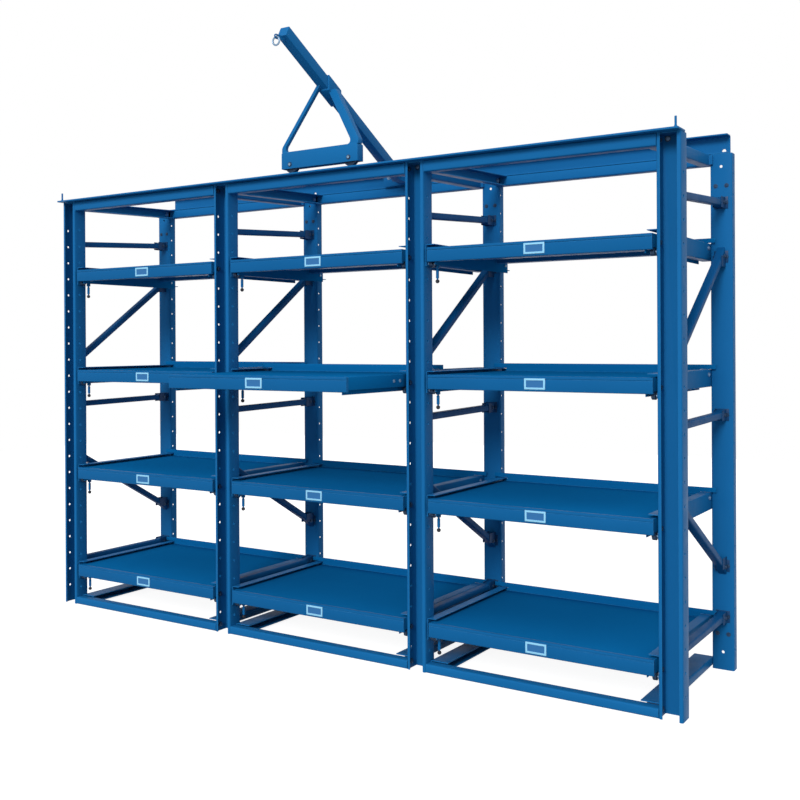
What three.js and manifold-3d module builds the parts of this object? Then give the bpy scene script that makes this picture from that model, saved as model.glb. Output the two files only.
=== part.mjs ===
import * as THREE from 'three';
import { mergeVertices } from 'three/addons/utils/BufferGeometryUtils.js';
import Module from 'manifold-3d';

const wasm = await Module();
wasm.setup();

// Rack, in millimetres. Origin on the underside of the front base beam, at its middle.
const bayCount = 3;
const bayPitch = 1000;
const frontToRearWebs = 575;
const clearance = 0.3;
const cutOverrun = 5;

// Uprights: lipped channels, open to the front at the front and to the rear at the rear
const uprightWidth = 84;
const frontUprightDepth = 70;
const rearUprightDepth = 45;
const uprightLip = 13;
const uprightWall = 3;
const frontUprightHeight = 1976;
const rearUprightRise = 24;
const holePitch = 80;
const holeRadius = 5.5;
const firstHoleHeight = 80;
const holeTopMargin = 60;
const holeFromWeb = 41;
const flangeHoleSides = 4;
const webHoleSides = 8;
const webHoleRadius = 9;
const webHoleBelowTop = 12;
const webHoleAside = 22;
const rearWebHoleLow = 69;
const rearWebHoleBelowTop = 50;
const boltHeadRadius = 9;
const boltHeadHeight = 6;
const boltSides = 6;

// Base beams, top beams and tracks
const baseBeamHeight = 34;
const baseBeamDepth = 40;
const beamWall = 4;
const topBeamHeight = 44;
const topBeamDepth = 40;
const trackOverhang = 34;
const trackOverUpright = 45;
const trackThickness = 7;
const trackPastEnd = 2;
const endStopRadius = 4;
const endStopHeight = 38;
const endStopInset = 14;
const endStopSides = 8;
const rearTieHeight = 42;
const rearTieDepth = 36;
const rearTrackHeight = 76;
const rearTrackDepth = 50;
const rearTrackWall = 5;
const rearTrackPastPost = 24;
const rearTrackHoleRadius = 8;
const rearTrackHoleUp = 16;

// Side frames
const braceWidth = 30;
const braceHeight = 26;
const braceWall = 4;
const sideBeamWidth = 38;
const sideBeamCleat = 12;
const braceTabLength = 70;
const braceTabHeight = 42;

// Brace heights at the front and rear web, as shares of the rear upright's height, and brace sizes
const topBraceShares = [0.887, 0.905];
const upperDiagonalShare = [0.606, 0.806];
const midBraceShares = [0.49, 0.4945];
const lowerDiagonalShare = [0.3605, 0.1975];
const footBraceShare = 0.104;

// Members on the floor beside the uprights
const baseSideWidth = 76;
const baseSideHeight = 32;
const baseSideLift = 8;

// Drawer rows, given by the height of the front panel's top edge as a share of the front upright's
const rowShares = [0, 0.2678, 0.5362, 0.8114];
const latchAboveBase = 19;
const panelHeight = 56;
const panelThickness = 14;
const panelWidth = 886;
const panelHem = 5;
const runnerHeight = 68;
const runnerWidth = 38;
const runnerWall = 3;
const runnerAbovePanel = 14;
const runnerFrontGap = 1;
const rollerRadius = 14;
const rollerWidth = 16;
const rollerSides = 8;
const rollerBoss = 8;
const rollerTabWall = 4;
const rollerFromFront = 18;
const trayRollerRadius = 15;
const trayRollerFromEnd = 24;
const floorThickness = 4;
const skirtGap = 3.5;
const skirtWall = 3.5;
const skirtHeight = 66;
const railThickness = 4;
const railWidth = 18;
const railInset = 12;
const railLift = 3.3;
const weld = 0.5;
const weldTolerance = 1e-4;
const rearWallHeight = 33;
const stopFromPost = 20;
const stopAboveRunner = 1;
const rearWallThickness = 4;
const trayLength = 620;
const ribCount = 3;
const ribWidth = 46;
const ribHeight = 26;
const ribWall = 3;
const ribInset = 60;
const labelWidth = 82;
const labelHeight = 40;
const labelBorder = 7;
const labelThickness = 3;
const labelSide = 8;
const pulledOut = 377;
const pulledBayIndex = 1;
const pulledRowIndex = 2;

// Latch pulls under the left runner of every drawer
const latchRadius = 4;
const latchBore = 5;
const latchBarrelRadius = 9;
const latchBarrelHeight = 24;
const latchReach = 74;
const latchTopGap = 15;
const ballRadius = 8;
const latchSides = 6;
const ballRings = 4;
const latchFromFront = 62;

// Travelling crane
const craneX = 66;
const bogieLength = 386;
const bogieHeight = 70;
const bogieDepth = 40;
const bogieWall = 4;
const bogieCorner = 5;
const bogieLift = 17;
const wheelRadius = 34;
const wheelWidth = 20;
const wheelHubWidth = 30;
const wheelHubRadius = 13;
const wheelSides = 16;
const wheelBore = 6.6;
const axleRadius = 6;
const axleSides = 16;
const axleInset = 44;
const boomSize = 44;
const boomWall = 4;
const boomTipFromFront = 258;
const boomAboveTrack = 362;
const boomRearAboveTrack = 1;
const boomArmLength = 62;
const boomArmHeight = 40;
const boomArmLift = 3;
const legWidth = 38;
const legDepth = 30;
const legTopRight = 49;
const legTopY = 14;
const thinLegWidth = 17;
const thinLegDepth = 18;
const thinLegTopLeft = 16;
const thinLegTopY = -27;
const legKnee = 20;
const legFillet = 14;
const collarWall = 5;
const collarLength = 86;
const collarFromFront = 48;
const hookRadius = 16;
const hookWire = 3.5;
const hookSides = 6;
const hookSteps = 16;
const hookPlay = 0.6;
const lugWall = 5;
const lugRadius = 12;
const lugBore = 6;
const lugDrop = 10.5;
const lugForward = 33;
const lugRoot = 30;
const rearWheelRadius = 26;
const rearWheelWidth = 18;
const rearWheelSpread = 170;
const rearWheelInset = 8;
const carriageWall = 6;
const carriageAboveTrack = 3;
const carriageLength = 230;
const carriageGap = 16;

// Places that follow from the sizes above
const frontY = -baseBeamDepth / 2;
const rearWebY = frontY + frontUprightDepth + frontToRearWebs;
const rearUprightHeight = frontUprightHeight + rearUprightRise;
const firstUprightX = -bayCount * bayPitch / 2;
const uprightX = Array.from({ length: bayCount + 1 }, (_, i) => firstUprightX + i * bayPitch);
const bayX = Array.from({ length: bayCount }, (_, i) => uprightX[i] + bayPitch / 2);
const halfUpright = uprightWidth / 2;
const beamLength = bayPitch - uprightWidth - 2 * clearance;
const trackBottom = frontUprightHeight + clearance;
const trackTop = trackBottom + trackThickness;
const trackEnd = uprightX[bayCount] + halfUpright + trackPastEnd;
const bogieFrontY = frontY - trackOverhang;
const wheelY = bogieFrontY + bogieDepth / 2;
const axleHeight = trackTop + clearance + wheelRadius;
const bogieBottom = trackTop + bogieLift;
const bogieTop = bogieBottom + bogieHeight;
const rearTrackBottom = rearUprightHeight + clearance;
const rearTrackTop = rearTrackBottom + rearTrackHeight;
const rearAxleHeight = rearTrackTop - rearTrackWall - clearance - rearWheelRadius;
const carriageY = rearWebY - carriageGap;
const carriageBottom = rearTrackBottom + carriageAboveTrack;
const boomHeightAtFront = trackTop + boomAboveTrack;
const runnerBack = halfUpright + clearance;
const runnerLow = runnerAbovePanel - runnerHeight;
const railLow = runnerLow + runnerWall + railLift;
const lowestRow = baseSideLift + baseSideHeight + latchAboveBase + ballRadius + latchReach - runnerLow;
const rowHeights = rowShares.map((share) => lowestRow + share * (frontUprightHeight - lowestRow));
const skirtX = bayPitch / 2 - runnerBack - runnerWidth - skirtGap;
const railX = bayPitch / 2 - runnerBack - runnerWall - railInset;
const stopX = bayPitch / 2 - stopFromPost;
const latchX = runnerBack + runnerWidth - latchBarrelRadius - runnerWall;
const latchY = frontY + latchFromFront;

const blueSteel = new THREE.MeshStandardMaterial({ color: 0x1f66a8, roughness: 0.42, metalness: 0.1 });
const darkBlue = new THREE.MeshStandardMaterial({ color: 0x134a82, roughness: 0.45, metalness: 0.1 });
const rollerSteel = new THREE.MeshStandardMaterial({ color: 0x20242a, roughness: 0.4, metalness: 0.6 });
const paleMetal = new THREE.MeshStandardMaterial({ color: 0x8db4d6, roughness: 0.4, metalness: 0.5 });

const rack = new THREE.Group();

function toSolid(geometry) {
  const bare = geometry.clone();
  bare.deleteAttribute('normal');
  bare.deleteAttribute('uv');
  const merged = mergeVertices(bare, weldTolerance);
  return new wasm.Manifold(new wasm.Mesh({
    numProp: 3,
    vertProperties: new Float32Array(merged.attributes.position.array),
    triVerts: new Uint32Array(merged.index.array),
  }));
}

function toGeometry(solid) {
  const mesh = solid.getMesh();
  const geometry = new THREE.BufferGeometry();
  geometry.setAttribute('position', new THREE.BufferAttribute(new Float32Array(mesh.vertProperties), 3));
  geometry.setIndex(new THREE.BufferAttribute(new Uint32Array(mesh.triVerts), 1));
  return geometry;
}

function join(...solids) {
  return solids.reduce((whole, next) => whole.add(next));
}

function cut(solid, ...tools) {
  return tools.reduce((rest, tool) => rest.subtract(tool), solid);
}

function add(name, solid, material, x = 0, y = 0, z = 0) {
  const mesh = new THREE.Mesh(toGeometry(solid), material);
  mesh.name = name;
  mesh.position.set(x, y, z);
  rack.add(mesh);
  return mesh;
}

function outline(points) {
  return new THREE.Shape(points.map(([a, b]) => new THREE.Vector2(a, b)));
}

function place(geometry, x, y, z) {
  geometry.translate(x, y, z);
  return toSolid(geometry);
}

// Prism of an (x, y) outline along +Z
function alongZ(points, z0, length) {
  const geometry = new THREE.ExtrudeGeometry(outline(points), { depth: length, bevelEnabled: false });
  return place(geometry, 0, 0, z0);
}

// Prism of a (y, z) outline along +X
function alongX(points, x0, length) {
  const geometry = new THREE.ExtrudeGeometry(outline(points), { depth: length, bevelEnabled: false });
  geometry.applyMatrix4(new THREE.Matrix4().makeBasis(
    new THREE.Vector3(0, 1, 0), new THREE.Vector3(0, 0, 1), new THREE.Vector3(1, 0, 0)));
  return place(geometry, x0, 0, 0);
}

// Prism of an (x, z) outline along +Y
function alongY(points, y0, length) {
  const geometry = new THREE.ExtrudeGeometry(outline(points), { depth: length, bevelEnabled: false });
  geometry.applyMatrix4(new THREE.Matrix4().makeBasis(
    new THREE.Vector3(1, 0, 0), new THREE.Vector3(0, 0, 1), new THREE.Vector3(0, -1, 0)));
  return place(geometry, 0, y0 + length, 0);
}

function block(x0, x1, y0, y1, z0, z1) {
  const geometry = new THREE.BoxGeometry(x1 - x0, y1 - y0, z1 - z0);
  return place(geometry, (x0 + x1) / 2, (y0 + y1) / 2, (z0 + z1) / 2);
}

function rodX(radius, x0, x1, y, z, sides) {
  const geometry = new THREE.CylinderGeometry(radius, radius, x1 - x0, sides);
  geometry.rotateZ(-Math.PI / 2);
  return place(geometry, (x0 + x1) / 2, y, z);
}

function rodY(radius, y0, y1, x, z, sides) {
  const geometry = new THREE.CylinderGeometry(radius, radius, y1 - y0, sides);
  return place(geometry, x, (y0 + y1) / 2, z);
}

function rodZ(radius, z0, z1, x, y, sides) {
  const geometry = new THREE.CylinderGeometry(radius, radius, z1 - z0, sides);
  geometry.rotateX(Math.PI / 2);
  return place(geometry, x, y, (z0 + z1) / 2);
}

// Outline of a channel whose back lies at a = 0 and whose mouth is at a = depth
function channel(depth, low, high, wall) {
  return [[0, low], [depth, low], [depth, low + wall], [wall, low + wall],
    [wall, high - wall], [depth, high - wall], [depth, high], [0, high]];
}

// Outline of an upright in (x, y), with its mouth towards side = -1 (front) or 1 (rear)
function uprightOutline(webY, side, depth) {
  const w = halfUpright;
  const t = uprightWall;
  const mouth = webY + side * depth;
  const points = [[-w, webY], [w, webY], [w, mouth],
    [w - uprightLip, mouth], [w - uprightLip, mouth - side * t],
    [w - t, mouth - side * t], [w - t, webY + side * t], [t - w, webY + side * t], [t - w, mouth - side * t],
    [uprightLip - w, mouth - side * t], [uprightLip - w, mouth], [-w, mouth]];
  return side > 0 ? points : points.reverse();
}

// Rows of holes through both flanges of an upright
function flangeHoles(y, top) {
  const count = Math.floor((top - holeTopMargin - firstHoleHeight) / holePitch) + 1;
  return Array.from({ length: count }, (_, k) => rodX(holeRadius, -halfUpright - cutOverrun,
    halfUpright + cutOverrun, y, firstHoleHeight + k * holePitch, flangeHoleSides));
}

// Brace between the webs of one side frame, an open channel along a slope, flared at its rear end
function brace([frontHeight, rearHeight], y0, y1) {
  const slope = (rearHeight - frontHeight) / (y1 - y0);
  const stretch = Math.hypot(1, slope);
  const z = (y) => frontHeight + slope * (y - y0);
  const yTab = y1 - braceTabLength / stretch;
  const band = (inset, start, end) => {
    const slim = (braceHeight / 2 - inset) * stretch;
    const wide = (braceTabHeight / 2 - inset) * stretch;
    return [[start, z(start) - slim], [yTab, z(yTab) - slim], [end, z(end) - wide],
      [end, z(end) + wide], [yTab, z(yTab) + slim], [start, z(start) + slim]];
  };
  const outer = alongX(band(0, y0, y1), -braceWidth / 2, braceWidth);
  const inner = alongX(band(braceWall, y0 - cutOverrun, y1 + cutOverrun), -braceWidth / 2 - cutOverrun,
    braceWidth + cutOverrun - braceWall);
  return cut(outer, inner);
}

// Solid mirrored to the other side of the upright by the outline's sign
function sided(side, a, b, y0, y1, z0, z1) {
  return block(Math.min(side * a, side * b), Math.max(side * a, side * b), y0, y1, z0, z1);
}

function sidedChannel(side, back, depth, y0, y1, low, high, wall) {
  const points = channel(depth, low, high, wall).map(([a, z]) => [side * (back + a), z]);
  return alongY(points, y0, y1 - y0);
}

// Runner of one drawer on the bay side of an upright, with its front roller and latch barrel
function runner(side, top, withLatch) {
  const low = top + runnerLow;
  const high = top + runnerAbovePanel;
  const y0 = frontY + panelThickness + runnerFrontGap;
  const y1 = rearWebY + rearUprightDepth / 2;
  const rollerZ = top + railLow - clearance - rollerRadius;
  const rollerY = y0 + rollerFromFront;
  const rollerStart = runnerBack + rollerTabWall - weld;
  const rollerEnd = rollerStart + rollerBoss + rollerWidth;
  const notch = sided(side, runnerBack + runnerWall, runnerBack + runnerWidth + cutOverrun,
    y0 - cutOverrun, rollerY + rollerRadius + clearance, low - cutOverrun, low + runnerWall + cutOverrun);
  const tab = sided(side, runnerBack, runnerBack + rollerTabWall,
    y0, rollerY + rollerRadius, rollerZ - rollerRadius / 2, low + runnerWall);
  const roller = rodX(rollerRadius, Math.min(side * rollerStart, side * rollerEnd),
    Math.max(side * rollerStart, side * rollerEnd), rollerY, rollerZ, rollerSides);
  const pad = sided(side, halfUpright - weld, runnerBack + weld,
    y0, frontY + frontUprightDepth, low + runnerWall, high - runnerWall);
  let solid = join(cut(sidedChannel(side, runnerBack, runnerWidth, y0, y1, low, high, runnerWall), notch),
    pad, tab, roller);
  if (withLatch) {
    const x = side * latchX;
    const barrel = rodZ(latchBarrelRadius, low - latchBarrelHeight, low + runnerWall / 2,
      x, latchY, latchSides);
    const bore = rodZ(latchBore, low - latchBarrelHeight - cutOverrun, low + runnerWall + cutOverrun / 2,
      x, latchY, latchSides);
    solid = cut(join(solid, barrel), bore);
  }
  return solid;
}

// Floor-level member beside an upright, from the base beam to the rear upright
function baseSide(side) {
  const y0 = frontY + baseBeamDepth + clearance;
  const y1 = rearWebY + rearUprightDepth / 2;
  const low = baseSideLift;
  const high = baseSideLift + baseSideHeight;
  const pad = sided(side, halfUpright - weld, runnerBack + weld, y0, frontY + frontUprightDepth, low, high);
  return join(sidedChannel(side, runnerBack, baseSideWidth, y0, y1, low, high, beamWall), pad);
}

// Front uprights, each with the runners and base members bolted to its flanges
for (let i = 0; i <= bayCount; i++) {
  const webY = frontY + frontUprightDepth;
  const shell = alongZ(uprightOutline(webY, -1, frontUprightDepth), 0, frontUprightHeight);
  const webHole = rodY(webHoleRadius, webY - uprightWall - cutOverrun, webY + cutOverrun,
    -webHoleAside, frontUprightHeight - webHoleBelowTop, webHoleSides);
  let post = cut(shell, ...flangeHoles(webY - holeFromWeb, frontUprightHeight), webHole);
  for (const top of rowHeights) {
    if (i > 0) post = post.add(runner(-1, top, false));
    if (i < bayCount) post = post.add(runner(1, top, true));
  }
  if (i > 0) post = post.add(baseSide(-1));
  if (i < bayCount) post = post.add(baseSide(1));
  add(`front_post_${i + 1}`, post, blueSteel, uprightX[i]);
}

// Sloping beam from the top beam to the rear upright, open towards its bay, on a cleat of the rear web
function sideBeam(side) {
  const y0 = frontY + topBeamDepth + clearance;
  const y1 = rearWebY - clearance;
  const top = (y) => frontUprightHeight + (rearUprightRise - clearance) * (y - y0) / (y1 - y0);
  const band = (inset, start, end) => [[start, top(start) - topBeamHeight + inset],
    [end, top(end) - topBeamHeight + inset], [end, top(end) - inset], [start, top(start) - inset]];
  const outer = alongX(band(0, y0, y1), side > 0 ? runnerBack : -runnerBack - sideBeamWidth, sideBeamWidth);
  const inner = alongX(band(beamWall, y0 - cutOverrun, y1 + cutOverrun),
    side > 0 ? runnerBack + beamWall : -runnerBack - sideBeamWidth - cutOverrun,
    sideBeamWidth - beamWall + cutOverrun);
  const low = top(y1) - topBeamHeight + beamWall;
  const high = top(y1) - beamWall;
  const onBeam = sided(side, halfUpright - sideBeamCleat, runnerBack + beamWall,
    y1 - sideBeamCleat, y1, low, high);
  const onWeb = sided(side, halfUpright - sideBeamCleat, halfUpright - weld,
    y1 - sideBeamCleat, rearWebY + weld, low, high);
  return join(cut(outer, inner), onBeam, onWeb);
}

// Rear uprights, each with the welded braces of its side frame and the side beams of its bays
const braceShares = [topBraceShares, upperDiagonalShare, midBraceShares,
  lowerDiagonalShare, [footBraceShare, footBraceShare]];
const braceHeights = braceShares.map((pair) => pair.map((share) => share * rearUprightHeight));
for (let i = 0; i <= bayCount; i++) {
  const y0 = frontY + frontUprightDepth + clearance;
  const y1 = rearWebY + weld;
  const shell = alongZ(uprightOutline(rearWebY, 1, rearUprightDepth), 0, rearUprightHeight);
  const webHoles = [rearWebHoleLow, rearUprightHeight - rearWebHoleBelowTop].map((z) =>
    rodY(holeRadius, rearWebY - cutOverrun, rearWebY + uprightWall + cutOverrun, 0, z, webHoleSides));
  const post = cut(shell, ...webHoles);
  const slotBehindWeb = block(-halfUpright, halfUpright, rearWebY + weld, rearWebY + rearUprightDepth,
    0, rearUprightHeight);
  let frame = join(post, ...braceHeights.map((heights) => cut(brace(heights, y0, y1), slotBehindWeb)));
  if (i > 0) frame = frame.add(sideBeam(-1));
  if (i < bayCount) frame = frame.add(sideBeam(1));
  add(`rear_frame_${i + 1}`, frame, blueSteel, uprightX[i]);
}

// Base beams, top beams and rear ties of each bay
const beamX0 = -beamLength / 2;
const baseProfile = channel(baseBeamDepth, 0, baseBeamHeight, beamWall).map(([a, z]) => [frontY + a, z]);
const topProfile = channel(topBeamDepth, frontUprightHeight - topBeamHeight, frontUprightHeight, beamWall)
  .map(([a, z]) => [frontY + a, z]);
const tieProfile = channel(rearTieDepth, rearUprightHeight - rearTieHeight, rearUprightHeight, beamWall)
  .map(([a, z]) => [rearWebY + a, z]);
for (let b = 0; b < bayCount; b++) {
  add(`base_beam_${b + 1}`, alongX(baseProfile, beamX0, beamLength), blueSteel, bayX[b]);
  add(`top_beam_${b + 1}`, alongX(topProfile, beamX0, beamLength), blueSteel, bayX[b]);
  add(`rear_tie_${b + 1}`, alongX(tieProfile, beamX0, beamLength), blueSteel, bayX[b]);
}

// Crane tracks along the top, with an end stop pin at each end of the front one
const stops = [-1, 1].map((side) =>
  rodZ(endStopRadius, trackBottom + weld, trackTop + endStopHeight, side * (trackEnd - endStopInset),
    bogieFrontY + bogieDepth / 2, endStopSides));
const trackPlate = block(-trackEnd, trackEnd, frontY - trackOverhang, frontY + trackOverUpright,
  trackBottom, trackTop);
add('front_track', join(trackPlate, ...stops), blueSteel);
const rearTrackEnd = uprightX[bayCount] + rearTrackPastPost;
const rearTrackStart = uprightX[0] + halfUpright - uprightWall - clearance;
const rearProfile = channel(rearTrackDepth, rearTrackBottom, rearTrackTop, rearTrackWall)
  .map(([a, z]) => [rearWebY + rearTrackDepth - a, z]);
const rearTrackBack = rearWebY + rearTrackDepth;
const rearTrackHoles = uprightX.slice(1).map((x) => rodY(rearTrackHoleRadius,
  rearTrackBack - rearTrackWall - cutOverrun, rearTrackBack + cutOverrun,
  x, rearTrackBottom + rearTrackHoleUp, webHoleSides));
add('rear_track', cut(alongX(rearProfile, rearTrackStart, rearTrackEnd - rearTrackStart),
  ...rearTrackHoles), blueSteel);

// Drawer tray: front panel, floor with deep sides, rails in the runners, ribs and a wide rear stop
function trayBody() {
  const floorLow = -floorThickness;
  const y0 = frontY + panelHem - weld;
  const y1 = frontY + panelThickness + trayLength;
  const panel = alongX(channel(panelThickness, -panelHeight, 0, panelHem).map(([a, z]) => [frontY + a, z]),
    -panelWidth / 2, panelWidth);
  const s = skirtX;
  const w = skirtWall;
  const rightSide = [[railX, 0], [railX, railLow], [railX - railWidth, railLow],
    [railX - railWidth, railLow + railThickness], [railX - w, railLow + railThickness], [railX - w, floorLow],
    [s, floorLow], [s, -skirtHeight], [s - w, -skirtHeight], [s - w, floorLow]];
  const leftSide = rightSide.map(([x, z]) => [-x, z]).reverse();
  const floor = alongY([...rightSide, ...leftSide], y0, y1 - y0);
  const pieces = [];
  for (const side of [-1, 1]) {
    const rollerZ = runnerLow + runnerWall + clearance + trayRollerRadius;
    pieces.push(rodX(trayRollerRadius, Math.min(side * railX, side * (s - w / 2)),
      Math.max(side * railX, side * (s - w / 2)), y1 - trayRollerFromEnd, rollerZ, rollerSides));
  }
  const ribSpan = (trayLength - 2 * ribInset - ribWidth) / (ribCount - 1);
  for (let k = 0; k < ribCount; k++) {
    const y = frontY + panelThickness + ribInset + k * ribSpan;
    pieces.push(alongX([[y, floorLow + weld], [y, floorLow - ribHeight], [y + ribWidth, floorLow - ribHeight],
      [y + ribWidth, floorLow - ribHeight + ribWall], [y + ribWall, floorLow - ribHeight + ribWall],
      [y + ribWall, floorLow + weld]], w / 2 - s, 2 * s - w));
  }
  pieces.push(block(-s, s, y1 - rearWallThickness, y1, floorLow, rearWallHeight));
  pieces.push(block(-stopX, stopX, y1 - rearWallThickness, y1, runnerAbovePanel + stopAboveRunner,
    rearWallHeight));
  const labelTop = (labelHeight - panelHeight) / 2;
  const label = cut(
    block(labelSide - labelWidth / 2, labelSide + labelWidth / 2, frontY - labelThickness, frontY + weld,
      labelTop - labelHeight, labelTop),
    block(labelSide - labelWidth / 2 + labelBorder, labelSide + labelWidth / 2 - labelBorder,
      frontY - labelThickness - cutOverrun, frontY + cutOverrun,
      labelTop - labelHeight + labelBorder, labelTop - labelBorder));
  return join(panel, floor, ...pieces, label);
}

// Latch pull: a rod in its barrel under the runner, with a ball at its lower end
function latchBody() {
  const rod = rodZ(latchRadius, -latchReach, -latchTopGap + runnerWall / 2, 0, 0, latchSides);
  const ball = new THREE.SphereGeometry(ballRadius, latchSides, ballRings);
  ball.rotateX(Math.PI / 2);
  return join(rod, place(ball, 0, 0, -latchReach));
}

const tray = trayBody();
const latch = latchBody();
rowHeights.slice().reverse().forEach((top, row) => {
  for (let b = 0; b < bayCount; b++) {
    const out = b === pulledBayIndex && row + 1 === pulledRowIndex ? -pulledOut : 0;
    add(`tray_${b + 1}_${row + 1}`, tray, blueSteel, bayX[b], out, top);
    add(`latch_${b + 1}_${row + 1}`, latch, darkBlue, uprightX[b] + latchX, latchY, top + runnerLow);
  }
});

// Crane bogie on the front track, open below, with its axles
function bogieBody() {
  const l = bogieLength / 2;
  const c = bogieCorner;
  const y1 = bogieFrontY + bogieDepth;
  const face = [[-l, bogieBottom], [l, bogieBottom], [l, bogieTop - c], [l - c, bogieTop], [c - l, bogieTop],
    [-l, bogieTop - c]];
  const t = bogieWall;
  const inside = [[t - l, bogieBottom - cutOverrun], [l - t, bogieBottom - cutOverrun], [l - t, bogieTop - c],
    [l - c, bogieTop - t], [c - l, bogieTop - t], [t - l, bogieTop - c]];
  const box = cut(alongY(face, bogieFrontY, bogieDepth), alongY(inside, bogieFrontY + t, bogieDepth - 2 * t));
  const y0 = bogieFrontY - boltHeadHeight;
  const axles = [-1, 1].map((side) => side * (l - axleInset)).map((x) => join(
    rodY(axleRadius, y0, y1, x, axleHeight, axleSides),
    rodY(boltHeadRadius, y0, bogieFrontY + weld, x, axleHeight, boltSides)));
  return join(box, ...axles);
}

function wheelBody(radius, width, hubWidth) {
  const half = width / 2;
  const hub = hubWidth / 2;
  const profile = [[wheelBore, -hub], [wheelHubRadius, -hub], [wheelHubRadius, -half], [radius, -half],
    [radius, half], [wheelHubRadius, half], [wheelHubRadius, hub], [wheelBore, hub], [wheelBore, -hub]];
  const turned = profile.map(([r, y]) => new THREE.Vector2(r, y));
  return place(new THREE.LatheGeometry(turned, wheelSides), 0, 0, 0);
}

// Boom, its legs on the bogie, the collar where they meet and the lug of the hook ring
const boomTipY = frontY - boomTipFromFront;
const boomArmEndY = carriageY - carriageWall - clearance;
const boomEndY = boomArmEndY - boomArmLength;
const boomSlope = (boomHeightAtFront - rearTrackBottom - boomRearAboveTrack) / (boomArmEndY - frontY);
const boomZ = (y) => boomHeightAtFront - boomSlope * (y - frontY);
const boomStretch = Math.hypot(1, boomSlope);
const tipLean = boomSize / 2 * boomSlope / boomStretch;
const lugY = boomTipY - tipLean - lugForward;
const lugZ = boomZ(boomTipY) - boomSize / 2 / boomStretch - lugDrop;

// Leg from the bogie's end up to the boom, leaning back, with a rounded foot on its inner side
function leg(side) {
  const thin = side < 0;
  const width = thin ? thinLegWidth : legWidth;
  const depth = thin ? thinLegDepth : legDepth;
  const topY = thin ? thinLegTopY : legTopY;
  const footY = bogieFrontY + boltHeadHeight / 2 + depth / 2;
  const low = bogieTop + clearance;
  const high = boomZ(topY) - boomSize / 4;
  const end = bogieLength / 2 - clearance;
  const top = thin ? thinLegTopLeft : legTopRight;
  const points = [[end, low], [end, low + legKnee], [top, high], [top - width, high],
    [end - width, low + legKnee], [end - width - legFillet / 3, low + legFillet / 2],
    [end - width - legFillet, low]].map(([x, z]) => [side * x, z]);
  const geometry = new THREE.ExtrudeGeometry(outline(thin ? points.reverse() : points),
    { depth, bevelEnabled: false });
  geometry.applyMatrix4(new THREE.Matrix4().makeBasis(
    new THREE.Vector3(1, 0, 0), new THREE.Vector3(0, 0, 1), new THREE.Vector3(0, -1, 0)));
  geometry.translate(0, depth / 2, -low);
  geometry.applyMatrix4(new THREE.Matrix4().makeShear(0, 0, 0, 0, 0, (topY - footY) / (high - low)));
  return place(geometry, 0, footY, low);
}

function boomBody() {
  const half = boomSize / 2;
  const drop = half / boomStretch;
  const tipZ = boomZ(boomTipY);
  const rise = half * boomStretch;
  const outer = [[boomTipY - tipLean, tipZ - drop], [boomEndY, boomZ(boomEndY) - rise],
    [boomEndY, boomZ(boomEndY) + rise], [boomTipY + tipLean, tipZ + drop]];
  const inRise = rise - boomWall * boomStretch;
  const inner = [[boomTipY - boomSize, boomZ(boomTipY - boomSize) - inRise],
    [boomEndY - boomWall, boomZ(boomEndY - boomWall) - inRise],
    [boomEndY - boomWall, boomZ(boomEndY - boomWall) + inRise],
    [boomTipY - boomSize, boomZ(boomTipY - boomSize) + inRise]];
  const tube = alongX(outer, -half, boomSize);
  const hollow = alongX(inner, boomWall - half, boomSize - 2 * boomWall);
  const c0 = frontY + collarFromFront - collarLength / 2;
  const c1 = frontY + collarFromFront + collarLength / 2;
  const collarRise = rise + collarWall * boomStretch;
  const collar = alongX([[c0, boomZ(c0) - collarRise], [c1, boomZ(c1) - collarRise],
    [c1, boomZ(c1) + collarRise], [c0, boomZ(c0) + collarRise]],
  -half - collarWall, boomSize + 2 * collarWall);
  const armLow = carriageBottom + boomArmLift;
  const arm = alongX([[boomArmEndY, armLow], [boomArmEndY, armLow + boomArmHeight],
    [boomEndY - half, boomZ(boomEndY - half)], [boomEndY - weld, boomZ(boomEndY) - inRise]], -half, boomSize);
  const lugShape = new THREE.Shape();
  lugShape.absarc(0, 0, lugRadius, Math.PI / 2, 3 * Math.PI / 2);
  for (const y of [boomTipY - tipLean + lugRoot, boomTipY - tipLean + boomWall]) {
    lugShape.lineTo(y - lugY, boomZ(y) - rise + boomWall / 2 - lugZ);
  }
  const lugGeometry = new THREE.ExtrudeGeometry(lugShape,
    { depth: lugWall, bevelEnabled: false, curveSegments: hookSides });
  lugGeometry.applyMatrix4(new THREE.Matrix4().makeBasis(
    new THREE.Vector3(0, 1, 0), new THREE.Vector3(0, 0, 1), new THREE.Vector3(1, 0, 0)));
  const lug = place(lugGeometry, -lugWall / 2, lugY, lugZ);
  const bore = rodX(lugBore, -lugWall, lugWall, lugY, lugZ, axleSides);
  return cut(join(tube, collar, arm, leg(-1), leg(1), lug), hollow, bore);
}

add('crane_bogie', bogieBody(), blueSteel, craneX);
add('crane_frame', boomBody(), blueSteel, craneX);
const wheel = wheelBody(wheelRadius, wheelWidth, wheelHubWidth);
[-1, 1].forEach((side, k) => add(`front_wheel_${k + 1}`, wheel, rollerSteel,
  craneX + side * (bogieLength / 2 - axleInset), wheelY, axleHeight));

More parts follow.
